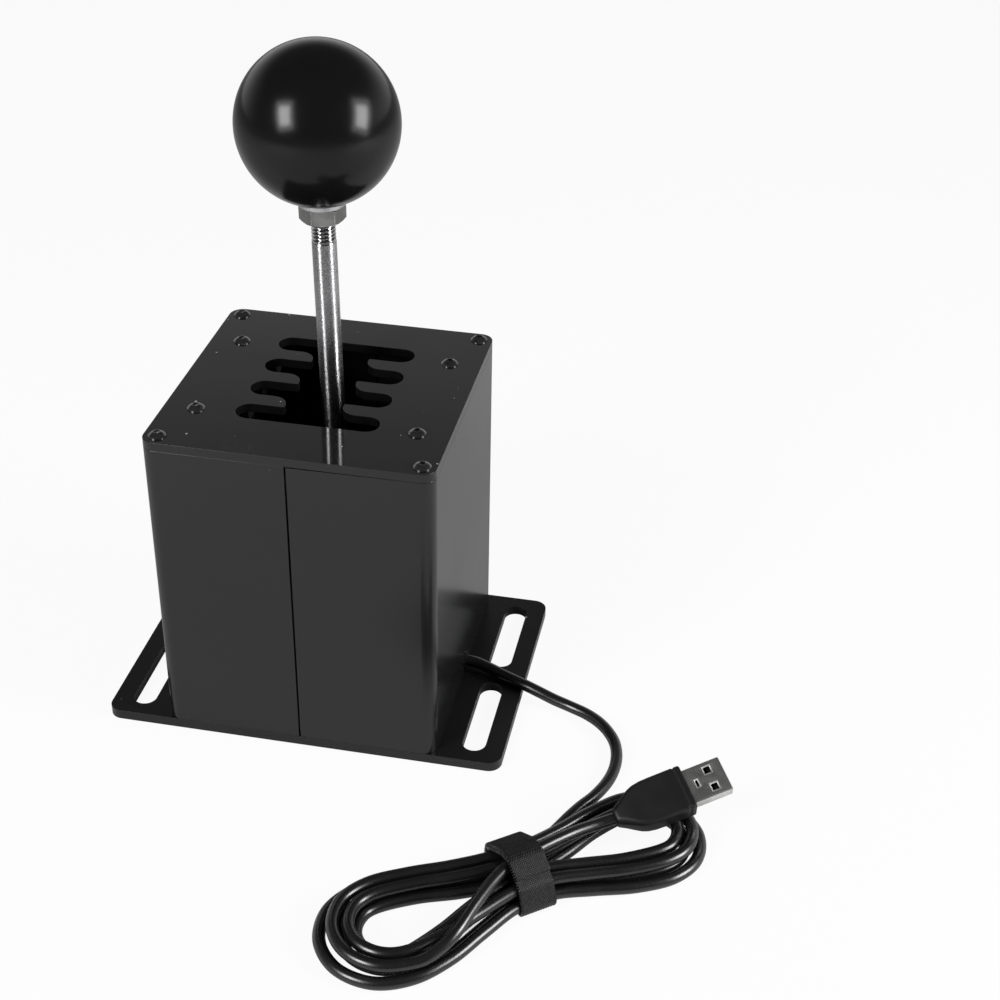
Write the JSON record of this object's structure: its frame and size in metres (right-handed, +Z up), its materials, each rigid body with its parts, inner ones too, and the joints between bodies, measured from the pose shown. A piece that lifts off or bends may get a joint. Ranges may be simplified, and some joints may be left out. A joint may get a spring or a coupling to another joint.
{
  "type": "gear shifter",
  "caption": "H-pattern gear shifter for a driving simulator: square sheet-metal box with a slotted gate, leaning ball-knob lever, slotted base plate and tied USB cable.",
  "frame": {"origin": "middle of the base plate's underside, on the bench", "axes": "+Z up along the lever, +X towards the side that the cable leaves by, -Y towards the front seam"},
  "size_m": [0.2156, 0.1947, 0.2257],
  "materials": {
    "gloss_plate": "semi-gloss black paint on plate",
    "satin_sheet": "fine satin black powder coat on bent sheet",
    "aluminium": "machined",
    "black_screw": "black oxide",
    "black_plastic": "moulded matte",
    "pale_plastic": "natural nylon",
    "steel": "ground and polished",
    "bright_metal": "bright nickel plate",
    "board_green": "solder mask",
    "ribbon_grey": "ribbed ribbon lead",
    "cable_black": "smooth semi-gloss sheath",
    "tie_fabric": "woven hook-and-loop strap",
    "bronze": "sintered",
    "knob_black": "polished phenolic"
  },
  "bodies": {
    "housing": {"base_plate": "gloss_plate", "gate_plate": "gloss_plate", "left_shell": "satin_sheet", "right_shell": "satin_sheet", "corner_posts": "aluminium", "corner_screws": "black_screw", "base_screws": "black_screw", "tab_screws": "black_screw", "inner_screws": "black_screw", "left_rail": "black_plastic", "right_rail": "black_plastic", "position_sensors": "black_plastic", "front_bracket": "aluminium", "rear_bracket": "aluminium", "bracket_screws": "black_screw", "pivot_shaft": "steel", "shaft_rings": "black_screw", "front_spring": "steel", "rear_spring": "steel", "controller_board": "board_green", "board_spacers": "pale_plastic", "board_screws": "steel", "board_chips": "black_plastic", "board_headers": "pale_plastic", "ribbon_leads": "ribbon_grey", "inner_lead": "cable_black", "cable_grommet": "cable_black", "cable": "cable_black", "cable_hank": "cable_black", "cable_tie": "tie_fabric", "plug_grip": "black_plastic", "plug_shell": "bright_metal", "plug_tongue": "pale_plastic"},
    "carriage": {"sliding_sleeve": "bronze", "sleeve_ring": "black_screw"},
    "lever": {"lever_hub": "aluminium", "friction_washer": "bronze", "hub_set_screw": "black_screw", "lever_rod": "steel", "jam_nut": "bright_metal", "knob_washer": "bright_metal", "knob": "knob_black", "knob_insert": "bronze"}
  },
  "joints": [
    {"name": "select", "type": "slide", "parent": "housing", "child": "carriage", "axis": [0, 1, 0], "range_m": [-0.0312, 0.0156], "stiffness_N_per_m": 150, "deforming": ["front_spring", "rear_spring"]},
    {"name": "shift", "type": "hinge", "parent": "carriage", "child": "lever", "pos_m": [0, 0.0098, 0.047], "axis": [0, 1, 0], "range_deg": [-14.2, 15.8]}
  ]
}
